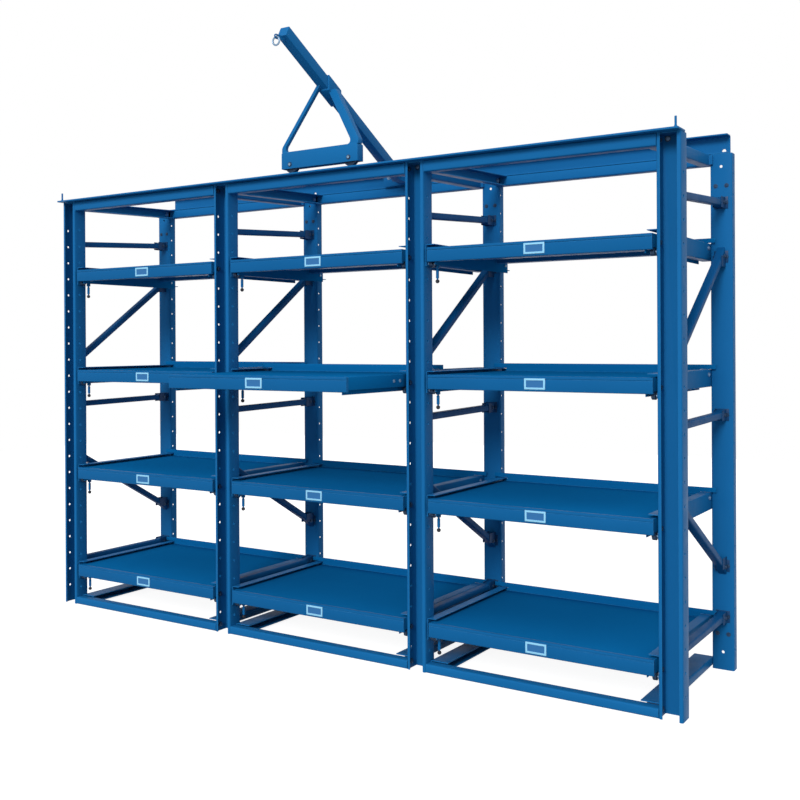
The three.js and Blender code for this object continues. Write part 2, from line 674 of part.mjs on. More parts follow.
// Rear carriage, whose wheels are held inside the rear track
const carriageTop = rearAxleHeight + wheelHubRadius;
const rearWheelY = rearWebY + rearWheelInset + rearWheelWidth / 2;
const carriagePlate = block(-carriageLength / 2, carriageLength / 2, carriageY - carriageWall, carriageY,
  carriageBottom, carriageTop);
const rearAxleEnd = rearWheelY + rearWheelWidth / 2 + boltHeadHeight;
const rearAxles = [-1, 1].map((side) => rodY(axleRadius, carriageY - weld, rearAxleEnd,
  side * rearWheelSpread / 2, rearAxleHeight, axleSides));
add('crane_carriage', join(carriagePlate, ...rearAxles), blueSteel, craneX);
const rearWheel = wheelBody(rearWheelRadius, rearWheelWidth, rearWheelWidth);
[-1, 1].forEach((side, k) => add(`rear_wheel_${k + 1}`, rearWheel, rollerSteel,
  craneX + side * rearWheelSpread / 2, rearWheelY, rearAxleHeight));

// Hook ring through the lug at the boom's tip
const ring = new THREE.TorusGeometry(hookRadius, hookWire, hookSides, hookSteps);
ring.rotateX(Math.PI / 2);
add('hook_ring', place(ring, 0, 0, 0), paleMetal,
  craneX, lugY, lugZ - lugBore + hookWire + hookPlay - hookRadius);

export default rack;
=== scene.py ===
import math

import bmesh
import bpy
from mathutils import Matrix, Vector


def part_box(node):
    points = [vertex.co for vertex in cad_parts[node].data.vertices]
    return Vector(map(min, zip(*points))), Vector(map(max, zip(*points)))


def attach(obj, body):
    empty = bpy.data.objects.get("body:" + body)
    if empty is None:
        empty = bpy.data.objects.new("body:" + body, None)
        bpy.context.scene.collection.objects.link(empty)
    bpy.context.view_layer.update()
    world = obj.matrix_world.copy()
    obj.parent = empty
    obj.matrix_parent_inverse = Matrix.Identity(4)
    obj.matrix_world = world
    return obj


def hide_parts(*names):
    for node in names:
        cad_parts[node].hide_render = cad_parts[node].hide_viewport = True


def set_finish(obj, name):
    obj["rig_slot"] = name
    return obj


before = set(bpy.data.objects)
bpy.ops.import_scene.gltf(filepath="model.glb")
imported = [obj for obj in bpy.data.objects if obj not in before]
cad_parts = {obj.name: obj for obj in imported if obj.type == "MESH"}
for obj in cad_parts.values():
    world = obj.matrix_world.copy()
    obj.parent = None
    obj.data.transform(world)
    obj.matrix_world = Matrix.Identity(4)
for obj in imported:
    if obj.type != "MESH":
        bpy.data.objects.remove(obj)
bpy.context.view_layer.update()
print("frame loaded:", len(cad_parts), "nodes")

mm = 0.001  # sizes below are in millimetres, the meshes in metres
rack = {
    "uprightX": [-1500, -500, 500, 1500], "bayX": [-1000, 0, 1000], "frontY": -20, "frontWebY": 50,
    "rearWebY": 625, "frontTop": 1976, "rearTop": 2000,
    "rowTops": [195 + share * 1781 for share in (0.8114, 0.5362, 0.2678, 0)],
}


# Small mesh tools

def toMesh(name, verts, faces, weld=False):
    mesh = bpy.data.meshes.new(name)
    mesh.from_pydata([[c * mm for c in v] for v in verts], [], faces)
    bm = bmesh.new()
    bm.from_mesh(mesh)
    if weld:
        bmesh.ops.remove_doubles(bm, verts=bm.verts, dist=1e-6)
    bmesh.ops.recalc_face_normals(bm, faces=bm.faces)
    bm.to_mesh(mesh)
    bm.free()
    return mesh


# Outline of folded sheet steel: a centre line of straight runs with round bends
def foldedSheet(path, thickness, bend, steps=3):
    line = []  # (point, normal)
    pts = [Vector(p) for p in path]
    for i, p in enumerate(pts):
        before = (p - pts[i - 1]).normalized() if i > 0 else None
        after = (pts[i + 1] - p).normalized() if i < len(pts) - 1 else None
        if before is None or after is None:
            d = after or before
            line.append((p, Vector((-d.y, d.x))))
            continue
        turn = math.atan2(before.x * after.y - before.y * after.x, before.dot(after))
        side = 1 if turn > 0 else -1
        start = p - before * bend * math.tan(abs(turn) / 2)
        normal = Vector((-before.y, before.x))
        centre = start + normal * side * bend
        for k in range(steps + 1):
            n = Matrix.Rotation(turn * k / steps, 2) @ normal
            line.append((centre - n * side * bend, n))
    half = thickness / 2
    return [p + n * half for p, n in line] + [p - n * half for p, n in reversed(line)]


# Prism of an outline through stations; each station maps (a, b) to (x, y, z)
def sweep(name, outline, stations):
    n = len(outline)
    verts = [place(p[0], p[1]) for place in stations for p in outline]
    faces = [list(range(n))[::-1], list(range((len(stations) - 1) * n, len(stations) * n))]
    for s in range(len(stations) - 1):
        for k in range(n):
            a, b = s * n + k, s * n + (k + 1) % n
            faces.append([a, b, b + n, a + n])
    return toMesh(name, verts, faces)


def alongX(name, outline, x0, x1):
    return sweep(name, outline, [lambda a, b, x=x: (x, a, b) for x in (x0, x1)])


def alongY(name, outline, y0, y1):
    return sweep(name, outline, [lambda a, b, y=y: (a, y, b) for y in (y0, y1)])


def alongZ(name, outline, z0, z1):
    return sweep(name, outline, [lambda a, b, z=z: (a, b, z) for z in (z0, z1)])


def plate(name, x0, x1, y0, y1, z0, z1):
    return alongZ(name, [(x0, y0), (x1, y0), (x1, y1), (x0, y1)], z0, z1)


# Two places on the given side of the middle, the lower one first
def sided(side, a, b):
    return sorted((side * a, side * b))


# Turned body: profile of (radius, along) pairs round an axis through centre
def turned(name, profile, centre, axis, steps=32, close=True):
    spin = {"x": lambda r, u, v, h: (h, u * r, v * r), "y": lambda r, u, v, h: (u * r, h, v * r),
            "z": lambda r, u, v, h: (u * r, v * r, h)}[axis]
    verts, faces = [], []
    n = len(profile)
    for k in range(steps):
        t = 2 * math.pi * k / steps
        for r, h in profile:
            p = spin(r, math.cos(t), math.sin(t), h)
            verts.append([p[i] + centre[i] for i in range(3)])
    for k in range(steps):
        m = (k + 1) % steps
        for i in range(n if close else n - 1):
            j = (i + 1) % n
            faces.append([k * n + i, k * n + j, m * n + j, m * n + i])
    return toMesh(name, verts, faces, weld=True)


def rod(name, radius, centre, axis, start, end, steps=20, rim=0.0):
    profile = [(0, start), (radius, start), (radius, end), (0, end)]
    if rim:
        edges = [(radius - rim, start), (radius, start + rim), (radius, end - rim), (radius - rim, end)]
        profile = [(0, start), *edges, (0, end)]
    return turned(name, profile, centre, axis, steps, close=False)


def linked(name, data):
    obj = bpy.data.objects.new(name, data)
    bpy.context.scene.collection.objects.link(obj)
    return obj


# Mesh after one modifier; the setting named object is the mesh to cut with
def applied(mesh, kind, settings):
    obj = linked("shaping", mesh)
    made = [obj]
    mod = obj.modifiers.new(kind, kind)
    for key, value in settings.items():
        if key == "object":
            value = linked("cutter", value)
            made.append(value)
        setattr(mod, key, value)
    bpy.context.view_layer.update()
    result = bpy.data.meshes.new_from_object(obj.evaluated_get(bpy.context.evaluated_depsgraph_get()))
    for o in made:
        bpy.data.objects.remove(o)
    return result


def drilled(mesh, cutters):
    return applied(mesh, "BOOLEAN", {"object": merged("holes", cutters), "operation": "DIFFERENCE",
                                     "solver": "EXACT"})


# One mesh from several, each with its own material
def merged(name, parts):
    bm = bmesh.new()
    materials = []
    for part in parts:
        mesh, material = part if isinstance(part, tuple) else (part, None)
        if material is not None and material not in materials:
            materials.append(material)
        first = len(bm.faces)
        bm.from_mesh(mesh)
        bm.faces.ensure_lookup_table()
        for face in bm.faces[first:]:
            face.material_index = materials.index(material) if material is not None else 0
    mesh = bpy.data.meshes.new(name)
    bm.to_mesh(mesh)
    bm.free()
    for material in materials:
        mesh.materials.append(material)
    return mesh


def dressed(mesh, name, body, nodes, slot, move):
    mesh.transform(Matrix.Translation(Vector(move) * mm))
    obj = linked(name, mesh)
    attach(obj, body)
    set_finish(obj, slot)
    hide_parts(*nodes)
    return obj


def piece(name, parts, body, nodes, slot="blue_paint", move=(0, 0, 0)):
    mesh = merged(name, parts)
    mesh.shade_smooth()
    mesh.set_sharp_from_angle(angle=math.radians(35))
    return dressed(mesh, name, body, nodes, slot, move)


def copied(source, name, body, nodes, move):
    return dressed(source.data.copy(), name, body, nodes, source["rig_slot"], move)


# Finishes

def shaderGroup(name, inputs, outputs):
    group = bpy.data.node_groups.new(name, "ShaderNodeTree")
    for label, kind, value in inputs:
        socket = group.interface.new_socket(name=label, in_out="INPUT", socket_type=kind)
        if value is not None:
            socket.default_value = value
    for label, kind in outputs:
        group.interface.new_socket(name=label, in_out="OUTPUT", socket_type=kind)
    return group, group.nodes.new("NodeGroupInput"), group.nodes.new("NodeGroupOutput")


# Sets a socket to a number or links it to another node's output
def fed(tree, socket, value):
    if isinstance(value, (int, float)):
        socket.default_value = value
    elif isinstance(value, (tuple, list)):
        socket.default_value = (*value, 1.0)
    elif value is not None:
        tree.links.new(value, socket)


def mathNode(tree, operation, a, b, clamp=False):
    node = tree.nodes.new("ShaderNodeMath")
    node.operation = operation
    node.use_clamp = clamp
    fed(tree, node.inputs[0], a)
    fed(tree, node.inputs[1], b)
    return node.outputs[0]


def noiseNode(tree, vector, scale, detail, roughness=0.5):
    node = tree.nodes.new("ShaderNodeTexNoise")
    for label, value in (("Vector", vector), ("Scale", scale), ("Detail", detail), ("Roughness", roughness)):
        fed(tree, node.inputs[label], value)
    return node.outputs["Fac"]


def rangeNode(tree, value, start, to=(0.0, 1.0)):
    node = tree.nodes.new("ShaderNodeMapRange")
    labels = ("Value", "From Min", "From Max", "To Min", "To Max")
    for label, v in zip(labels, (value, *start, *to)):
        fed(tree, node.inputs[label], v)
    return node.outputs["Result"]


def mixColor(tree, fac, a, b, blend="MIX"):
    node = tree.nodes.new("ShaderNodeMix")
    node.data_type = "RGBA"
    node.blend_type = blend
    for slot, value in ((0, fac), (6, a), (7, b)):
        fed(tree, node.inputs[slot], value)
    return node.outputs[2]


# Powder coat: slow drift of tone and the fine orange-peel skin
coat = {"peelScale": 420.0, "driftNoise": (2.6, 3.0), "cloudNoise": (14.0, 4.0), "cloud": (0.3, 0.7),
        "rough": (0.34, 0.47)}


def makePowderSkin():
    g, inp, out = shaderGroup("powderSkin", [
        ("Vector", "NodeSocketVector", None), ("Color", "NodeSocketColor", None),
        ("Drift", "NodeSocketFloat", None), ("Peel Scale", "NodeSocketFloat", coat["peelScale"])],
        [("Color", "NodeSocketColor"), ("Height", "NodeSocketFloat"), ("Roughness", "NodeSocketFloat")])
    place = inp.outputs["Vector"]
    centred = mathNode(g, "SUBTRACT", noiseNode(g, place, *coat["driftNoise"]), 0.5)
    shade = mathNode(g, "ADD", mathNode(g, "MULTIPLY", centred, inp.outputs["Drift"]), 1.0)
    grey = g.nodes.new("ShaderNodeCombineColor")
    for i in range(3):
        g.links.new(shade, grey.inputs[i])
    g.links.new(mixColor(g, 1.0, inp.outputs["Color"], grey.outputs[0], "MULTIPLY"), out.inputs["Color"])
    g.links.new(noiseNode(g, place, inp.outputs["Peel Scale"], 1.0), out.inputs["Height"])
    cloud = noiseNode(g, place, *coat["cloudNoise"])
    g.links.new(rangeNode(g, cloud, coat["cloud"], coat["rough"]), out.inputs["Roughness"])
    return g


# Group with a vector and an amount that gives one mask
def maskGroup(name, extra=()):
    inputs = [("Vector", "NodeSocketVector", None), *extra, ("Amount", "NodeSocketFloat", None)]
    return shaderGroup(name, inputs, [("Mask", "NodeSocketFloat")])


# Multiplies two masks by the group's amount and hands the result out
def maskOut(g, inp, out, a, b):
    mask = mathNode(g, "MULTIPLY", mathNode(g, "MULTIPLY", a, b), inp.outputs["Amount"], True)
    g.links.new(mask, out.inputs["Mask"])
    return g


# Painted edge highlight: a mask, in noisy patches, where a rounded normal leaves the true one; it lightens
# the edges
edgeHighlightForm = {"radius": 0.002, "samples": 4, "edge": (0.985, 0.80), "noise": (30.0, 4.0),
          "patch": (0.35, 0.65), "patchTo": (0.35, 1.0)}


def makeEdgeHighlight():
    g, inp, out = maskGroup("paintedEdgeHighlight", [("Radius", "NodeSocketFloat", edgeHighlightForm["radius"])])
    rounded = g.nodes.new("ShaderNodeBevel")
    rounded.samples = edgeHighlightForm["samples"]
    g.links.new(inp.outputs["Radius"], rounded.inputs["Radius"])
    geo = g.nodes.new("ShaderNodeNewGeometry")
    dot = g.nodes.new("ShaderNodeVectorMath")
    dot.operation = "DOT_PRODUCT"
    g.links.new(rounded.outputs[0], dot.inputs[0])
    g.links.new(geo.outputs["Normal"], dot.inputs[1])
    edge = rangeNode(g, dot.outputs["Value"], edgeHighlightForm["edge"])
    noise = noiseNode(g, inp.outputs["Vector"], *edgeHighlightForm["noise"])
    return maskOut(g, inp, out, edge, rangeNode(g, noise, edgeHighlightForm["patch"], edgeHighlightForm["patchTo"]))


# Dust that settles on level faces, thicker in patches
dusty = {"level": (0.55, 0.95), "noise": (7.0, 6.0, 0.6), "patch": (0.35, 0.75),
         "color": (0.08, 0.24, 0.42), "rough": 0.6}


def makeSettledDust():
    g, inp, out = maskGroup("settledDust")
    geo = g.nodes.new("ShaderNodeNewGeometry")
    split = g.nodes.new("ShaderNodeSeparateXYZ")
    g.links.new(geo.outputs["Normal"], split.inputs[0])
    up = rangeNode(g, split.outputs["Z"], dusty["level"])
    noise = noiseNode(g, inp.outputs["Vector"], *dusty["noise"])
    return maskOut(g, inp, out, up, rangeNode(g, noise, dusty["patch"]))


# Long shallow scuffs left by loads slid in from the front
scuffed = {"stretch": (1.0, 0.035, 1.0), "streakNoise": (240.0, 2.0), "streak": (0.62, 0.74),
           "noise": (5.0, 3.0), "patch": (0.45, 0.7), "color": (0.03, 0.20, 0.42)}


def makeSlideScuffs():
    g, inp, out = maskGroup("slideScuffs")
    stretched = g.nodes.new("ShaderNodeVectorMath")
    stretched.operation = "MULTIPLY"
    g.links.new(inp.outputs["Vector"], stretched.inputs[0])
    stretched.inputs[1].default_value = scuffed["stretch"]
    streak = rangeNode(g, noiseNode(g, stretched.outputs[0], *scuffed["streakNoise"]), scuffed["streak"])
    noise = noiseNode(g, inp.outputs["Vector"], *scuffed["noise"])
    return maskOut(g, inp, out, streak, rangeNode(g, noise, scuffed["patch"]))


groups = {"skin": makePowderSkin(), "rub": makeEdgeHighlight(), "dust": makeSettledDust(),
          "scuffs": makeSlideScuffs()}


def group(tree, name, **values):
    node = tree.nodes.new("ShaderNodeGroup")
    node.node_tree = groups[name]
    tree.links.new(tree.nodes["Texture Coordinate"].outputs["Object"], node.inputs["Vector"])
    for label, value in values.items():
        node.inputs[label.replace("_", " ")].default_value = value
    return node


def newMaterial(name):
    material = bpy.data.materials.new(name)
    material.use_nodes = True
    tree = material.node_tree
    tree.nodes.new("ShaderNodeTexCoord")
    return material, tree, tree.nodes["Principled BSDF"]


# Fine relief of the skin on the shader's normal
def addRelief(tree, shader, skin, strength, distance):
    bump = tree.nodes.new("ShaderNodeBump")
    bump.inputs["Strength"].default_value = strength
    bump.inputs["Distance"].default_value = distance
    tree.links.new(skin.outputs["Height"], bump.inputs["Height"])
    tree.links.new(bump.outputs["Normal"], shader.inputs["Normal"])


# Each paint's edge colour is a painted highlight laid along its edges
paints = {
    "bluePaint": {"color": (0.0072, 0.122, 0.328), "edge": (0.07, 0.30, 0.58), "rub": 0.55, "drift": 0.16,
                  "dust": 0.02, "peel": 0.06, "specular": 0.04},
    "deckPaint": {"color": (0.0030, 0.118, 0.325), "edge": (0.07, 0.30, 0.58), "rub": 0.6, "drift": 0.16,
                  "scuffs": 0.12, "peel": 0.06, "specular": 0.0},
    # painted shade: the drawers' front panels take a darker copy of the blue paint
    "shadedPanelPaint": {"color": (0.0050, 0.100, 0.275), "edge": (0.07, 0.30, 0.58), "rub": 0.55, "drift": 0.16,
                   "dust": 0.02, "peel": 0.06, "specular": 0.04},
    # painted shade: the braces take a darker copy of the blue paint
    "shadedBracePaint": {"color": (0.0030, 0.068, 0.205), "edge": (0.04, 0.20, 0.42), "rub": 0.5, "drift": 0.14,
                   "peel": 0.06, "specular": 0.04},
    # painted shade: brackets and cheeks at the brace joints take the darkest copy of the blue paint, with a
    # little dust
    "shadedBracketPaint": {"color": (0.004, 0.042, 0.13), "edge": (0.03, 0.14, 0.30), "rub": 0.4, "drift": 0.1,
                     "dust": 0.05, "peel": 0.06, "specular": 0.15},
    "holderPaint": {"color": (0.25, 0.56, 0.78), "edge": (0.42, 0.68, 0.84), "rub": 0.5, "drift": 0.1,
                    "peel": 0.05, "specular": 0.3},
}
peelDistance = 0.0004  # metres


def paintedSteel(name):
    f = paints[name]
    material, tree, shader = newMaterial(name)
    skin = group(tree, "skin", Color=(*f["color"], 1), Drift=f["drift"])
    # painted highlight: the edges are mixed towards the lighter edge colour
    rub = group(tree, "rub", Amount=f["rub"])
    color = mixColor(tree, rub.outputs["Mask"], skin.outputs["Color"], f["edge"])
    rough = skin.outputs["Roughness"]
    if "dust" in f:
        mask = group(tree, "dust", Amount=f["dust"]).outputs["Mask"]
        color = mixColor(tree, mask, color, dusty["color"])
        rough = mathNode(tree, "ADD", rough, mathNode(tree, "MULTIPLY", mask, dusty["rough"]), True)
    if "scuffs" in f:
        mask = group(tree, "scuffs", Amount=f["scuffs"]).outputs["Mask"]
        color = mixColor(tree, mask, color, scuffed["color"])
    addRelief(tree, shader, skin, f["peel"], peelDistance)
    tree.links.new(color, shader.inputs["Base Color"])
    tree.links.new(rough, shader.inputs["Roughness"])
    shader.inputs["Specular IOR Level"].default_value = f["specular"]
    return material


# Turned or rolled steel, with fine brushed rings or grain, and a painted highlight that lightens its edges
metals = {
    "darkRollerSteel": {"color": (0.012, 0.034, 0.075), "rough": 0.40, "metallic": 0.5},
    "zincBolt": {"color": (0.22, 0.34, 0.48), "rough": 0.38, "metallic": 0.75},
    "darkBolt": {"color": (0.018, 0.05, 0.11), "rough": 0.42, "metallic": 0.6},
}
grain = {"drift": 0.35, "scale": 700.0, "rub": 0.7, "highlightRadius": 0.0012, "highlightGain": 2.2, "highlightLift": 0.05,
         "from": (0.3, 0.7), "smoother": 0.08, "rougher": 0.10, "relief": 0.08, "distance": 0.0003}


def bareSteel(name):
    f, n = metals[name], grain
    material, tree, shader = newMaterial(name)
    skin = group(tree, "skin", Color=(*f["color"], 1), Drift=n["drift"], Peel_Scale=n["scale"])
    rub = group(tree, "rub", Amount=n["rub"], Radius=n["highlightRadius"])
    # painted highlight: a lighter tone of the steel along its edges
    highlitTone = [min(1.0, c * n["highlightGain"] + n["highlightLift"]) for c in f["color"]]
    tone = mixColor(tree, rub.outputs["Mask"], skin.outputs["Color"], highlitTone)
    tree.links.new(tone, shader.inputs["Base Color"])
    ends = (f["rough"] - n["smoother"], f["rough"] + n["rougher"])
    tree.links.new(rangeNode(tree, skin.outputs["Height"], n["from"], ends), shader.inputs["Roughness"])
    addRelief(tree, shader, skin, n["relief"], n["distance"])
    shader.inputs["Metallic"].default_value = f["metallic"]
    return material


# Matt stuff for the card in the label frame and the latches' balls
matt = {"drift": 0.12, "grain": 1800.0, "rough": 0.75}


def plainMatt(name, color):
    material, tree, shader = newMaterial(name)
    skin = group(tree, "skin", Color=(*color, 1), Drift=matt["drift"], Peel_Scale=matt["grain"])
    tree.links.new(skin.outputs["Color"], shader.inputs["Base Color"])
    shader.inputs["Roughness"].default_value = matt["rough"]
    return material


bluePaint, deckPaint, shadedPanelPaint, shadedBracePaint, shadedBracketPaint, holderPaint = map(paintedSteel, paints)
darkSteel, zincSteel, boltSteel = map(bareSteel, metals)
ballPlastic = plainMatt("ballPlastic", (0.012, 0.014, 0.022))
labelCard = plainMatt("labelCard", (0.012, 0.125, 0.33))
print("finishes made")


# Mesh with softened edges, and its paint
def coated(mesh, width, segments=1, paint=bluePaint):
    return applied(mesh, "BEVEL", {"width": width * mm, "segments": segments, "limit_method": "ANGLE",
                                   "angle_limit": math.radians(40)}), paint


# Bolts: the radius and height of each kind's head, and what all kinds share
boltSizes = {"postBolt": (8.5, 8), "runnerBolt": (6.5, 5), "holeBolt": (4.5, 3), "bracketBolt": (5, 4),
             "braceBolt": (6, 4.5), "sideBeamBolt": (8, 6), "webBolt": (6, 4), "trackBolt": (6.5, 4.5),
             "sideBolt": (5, 3.5), "axleBolt": (7.5, 4.5), "carriageBolt": (8, 5.5)}
boltForm = {"washerRim": 2.5, "washer": 1.6, "headStart": 1.2, "crownIn": 1.4, "crown": 1, "washerSteps": 20}


def hexBolt(name, centre, axis, sign, steel):
    radius, height = boltSizes[name]
    f = boltForm
    wide = radius + f["washerRim"]
    washer = [(0, 0), (wide, 0), (wide, f["washer"]), (0, f["washer"])]
    head = [(0, f["headStart"]), (radius, f["headStart"]), (radius, height - f["crown"]),
            (radius - f["crownIn"], height), (0, height)]
    return [(turned(name, [(r, sign * h) for r, h in profile], centre, axis, steps, close=False), steel)
            for profile, steps in ((washer, f["washerSteps"]), (head, 6))]


# Front posts: lipped channels with the runners and base members on their flanges
post = {"width": 84, "lip": 13, "wall": 3, "bend": 4.5, "holePitch": 80, "holeReach": 60, "boltY": 6}
postFront = {"holes": (5.5, 9, 1860), "webHole": (-22, 1964), "webHoleRadius": 9, "webCut": (40, 60),
             "washerRim": 2, "washer": 1.6, "capSheet": 3, "capGap": 0.2}
runner = {"back": 42.3, "depth": 38, "wall": 3, "bend": 3.0, "above": 14, "low": -54, "y0": -5, "y1": 647.5,
          "notchEnd": 27.3, "boltY": (64, 598), "boltDrop": 6, "postBoltDrop": 33}
roller = {"y": 13, "radius": 14, "lift": 3, "start": 54.3, "width": 16, "bevel": (2.2, 1.4), "pin": 5,
          "pinStart": 44, "pinOver": 19, "tab": 4, "tabBehind": 14, "tabDrop": 9}
roller["z"] = runner["low"] + runner["wall"] + roller["lift"] - roller["radius"]
barrel = {"x": 68.3, "y": 42, "outer": 9, "bore": 5, "length": 24, "rim": 1, "steps": 28}
baseSide = {"back": 42.3, "depth": 76, "low": 8, "high": 40, "wall": 4, "bend": 4.0, "y0": 20.3, "y1": 647.5,
            "bolts": (28, 1954)}
overrun = 5  # how far a cutter passes the metal


def liftedChannel(back, depth, low, high, wall, side, bend):
    half = wall / 2
    path = [(side * (back + depth), low + half), (side * (back + half), low + half),
            (side * (back + half), high - half), (side * (back + depth), high - half)]
    return foldedSheet(path, wall, bend)


def uprightSheet(mouth, web, side):
    half, w, lip = post["wall"] / 2, post["width"] / 2, post["lip"]
    m, b = mouth + side * half, web - side * half
    path = [(lip - w, m), (half - w, m), (half - w, b), (w - half, b), (w - half, m), (w - lip, m)]
    return foldedSheet(path, post["wall"], post["bend"])


# Row of holes through both flanges of a post
def flangeHoles(radius, y, last):
    pitch, reach = post["holePitch"], post["holeReach"]
    return [rod("hole", radius, (0, y, z), "x", -reach, reach, 16) for z in range(pitch, last + 1, pitch)]


# Sides of a post that have a bay
def baySides(i):
    return [side for side, inside in ((-1, i > 0), (1, i < 3)) if inside]


# Turned roller from start to end along x, with its outer edges bevelled
def rollerMesh(name, centre, radius, start, end, side, bevel):
    drop, run = bevel
    profile = [(5.5, start), (radius - drop, start), (radius, start + side * run),
               (radius, end - side * run), (radius - drop, end), (5.5, end)]
    return turned(name, profile, centre, "x", 32)


# Bolt head inside the post, where a runner or beam is fixed to its flange
def postBolt(side, z):
    inner = post["width"] / 2 - post["wall"]
    return hexBolt("postBolt", (side * inner, post["boltY"], z), "x", -side, boltSteel)


def runnerParts(side, top, withLatch):
    r, w, b = runner, roller, barrel
    low, high = top + r["low"], top + r["above"]
    outline = liftedChannel(r["back"], r["depth"], low, high, r["wall"], side, r["bend"])
    x0, x1 = sided(side, r["back"] + r["wall"], r["back"] + r["depth"] + overrun)
    cutters = [plate("notch", x0, x1, r["y0"] - overrun, r["notchEnd"], low - overrun, low + r["wall"] + 4)]
    if withLatch:
        cutters.append(rod("bore", b["bore"], (side * b["x"], b["y"], 0), "z", low - overrun, low + 8))
    parts = [coated(drilled(alongY("runner", outline, r["y0"], r["y1"]), cutters), 0.5)]
    z = top + w["z"]
    x0, x1 = sided(side, r["back"], r["back"] + w["tab"])
    tab = plate("rollerTab", x0, x1, r["y0"], w["y"] + w["tabBehind"], z - w["tabDrop"], low + 3)
    parts.append(coated(tab, 0.6))
    centre = (0, w["y"], z)
    pinEnds = sided(side, w["pinStart"], w["start"] + w["pinOver"])
    parts.append((rod("rollerPin", w["pin"], centre, "x", *pinEnds, rim=0.8), zincSteel))
    start, end = side * w["start"], side * (w["start"] + w["width"])
    parts.append((rollerMesh("roller", centre, w["radius"], start, end, side, w["bevel"]), darkSteel))
    for y in r["boltY"]:
        parts += hexBolt("runnerBolt", (side * r["back"], y, top - r["boltDrop"]), "x", -side, zincSteel)
    parts += postBolt(side, top - r["postBoltDrop"])
    if withLatch:
        foot = low - b["length"]
        profile = [(b["bore"], foot), (b["outer"] - b["rim"], foot), (b["outer"], foot + b["rim"]),
                   (b["outer"], low + 1), (b["bore"], low + 1)]
        centre = (side * b["x"], b["y"], 0)
        parts.append((turned("latchBarrel", profile, centre, "z", b["steps"]), bluePaint))
    return parts


def baseSideParts(side):
    b = baseSide
    outline = liftedChannel(b["back"], b["depth"], b["low"], b["high"], b["wall"], side, b["bend"])
    parts = [coated(alongY("baseSide", outline, b["y0"], b["y1"]), 0.6)]
    for z in b["bolts"]:
        parts += postBolt(side, z)
    return parts


# Cap that closes the post's top, and the bolt in the hole of its web
def postTopParts():
    p, wall, gap = postFront, post["wall"], postFront["capGap"]
    face, top = rack["frontWebY"] - wall, rack["frontTop"] - gap
    half, front = post["width"] / 2 - wall - gap, rack["frontY"] + wall + 2
    cap = plate("postCap", -half, half, front, face - gap, top - p["capSheet"], top)
    x, z = p["webHole"]
    outer = face - p["washer"]
    radius = p["webHoleRadius"] + p["washerRim"]
    washer = rod("holeWasher", radius, (x, 0, z), "y", outer, face - 0.1, rim=0.4)
    return [coated(cap, 0.4), (washer, boltSteel)] + hexBolt("holeBolt", (x, outer, z), "y", -1, zincSteel)


def frontPost(i):
    p = postFront
    shell = alongZ("shell", uprightSheet(rack["frontY"], rack["frontWebY"], 1), 0, rack["frontTop"])
    x, z = p["webHole"]
    webHole = rod("webHole", p["webHoleRadius"], (x, 0, z), "y", *p["webCut"], 24)
    cutters = flangeHoles(*p["holes"]) + [webHole]
    parts = [coated(drilled(shell, cutters), 0.5)] + postTopParts()
    for top in rack["rowTops"]:
        for side in baySides(i):
            parts += runnerParts(side, top, side > 0)
    for side in baySides(i):
        parts += baseSideParts(side)
    piece(f"frontPost{i + 1}", parts, "rack", [f"front_post_{i + 1}"], move=(rack["uprightX"][i], 0, 0))


for i in range(4):
    frontPost(i)
print("front posts made")

# Rear posts with the braces of the side frames
brace = {"width": 30, "height": 26, "wall": 4, "bend": 3.5, "tabLength": 70, "tabHeight": 42,
         "y0": 50.3, "y1": 624.7,
         "shares": [(0.887, 0.905), (0.606, 0.806), (0.49, 0.4945), (0.3605, 0.1975), (0.104, 0.104)]}
bracket = {"half": 27, "sheet": 3.5, "over": 2, "gap": 0.3, "boltInset": 6, "cheek": 2.5, "cheekLength": 58,
           "cheekBoltY": 600, "share": 0.03, "cheekShare": 0.05}
sideBeam = {"back": 42.3, "width": 38, "height": 44, "wall": 4, "bend": 4.0, "frontTop": 1976, "rise": 23.7,
            "y0": 20.3, "y1": 624.7, "cleat": 12, "cleatX": 30, "boltY": 600}
postRear = {"depth": 45, "holes": (4.2, 641, 1920), "webHoleRadius": 5.5, "webHoleZ": (69, 1950),
            "webCut": (615, 640), "boltX": 21, "boltZ": (140, 1875)}


def braceMesh(front, rear):
    b = brace
    slope = (rear - front) / (b["y1"] - b["y0"])
    stretch = math.hypot(1, slope)
    tabY = b["y1"] - b["tabLength"] / stretch
    half, w = b["wall"] / 2, b["width"] / 2
    path = [(-w, -1), (w - half, -1), (w - half, 1), (-w, 1)]
    outline = foldedSheet([(x, s * (b["height"] / 2 - half)) for x, s in path], b["wall"], b["bend"])

    def station(y, height):
        flare, level = (height - b["height"]) / 2, front + slope * (y - b["y0"])
        return lambda x, v: (x, y, level + (v + (flare if v > 0 else -flare)) * stretch)
    stations = [station(b["y0"], b["height"]), station(tabY, b["height"]), station(b["y1"], b["tabHeight"])]
    return sweep("brace", outline, stations)


# Bracket, cheek plates and bolts where a brace meets the web of the rear post; bracket and cheeks take the
# darkest paint, a painted shade
def braceEndParts(front, rear):
    b, k, y = brace, bracket, rack["rearWebY"]
    end, tall = rear - (rear - front) * k["share"], b["tabHeight"] / 2
    face = y - k["sheet"]
    reach = tall + k["over"]
    flat = plate("bracket", -k["half"], k["half"], face, y - k["gap"], end - reach, end + reach)
    parts = [coated(flat, 1.0, 2, shadedBracketPaint)]
    middle = end - (rear - front) * k["cheekShare"]
    for side in (-1, 1):
        x0, x1 = sided(side, b["width"] / 2, b["width"] / 2 + k["cheek"])
        cheek = plate("cheek", x0, x1, y - k["cheekLength"], face, middle - tall, middle + tall)
        parts.append(coated(cheek, 0.8, 1, shadedBracketPaint))
    for dx in (k["boltInset"] - k["half"], k["half"] - k["boltInset"]):
        parts += hexBolt("bracketBolt", (dx, face, end), "y", -1, boltSteel)
    centre = (b["width"] / 2 + k["cheek"], k["cheekBoltY"], end)
    return parts + hexBolt("braceBolt", centre, "x", 1, boltSteel)


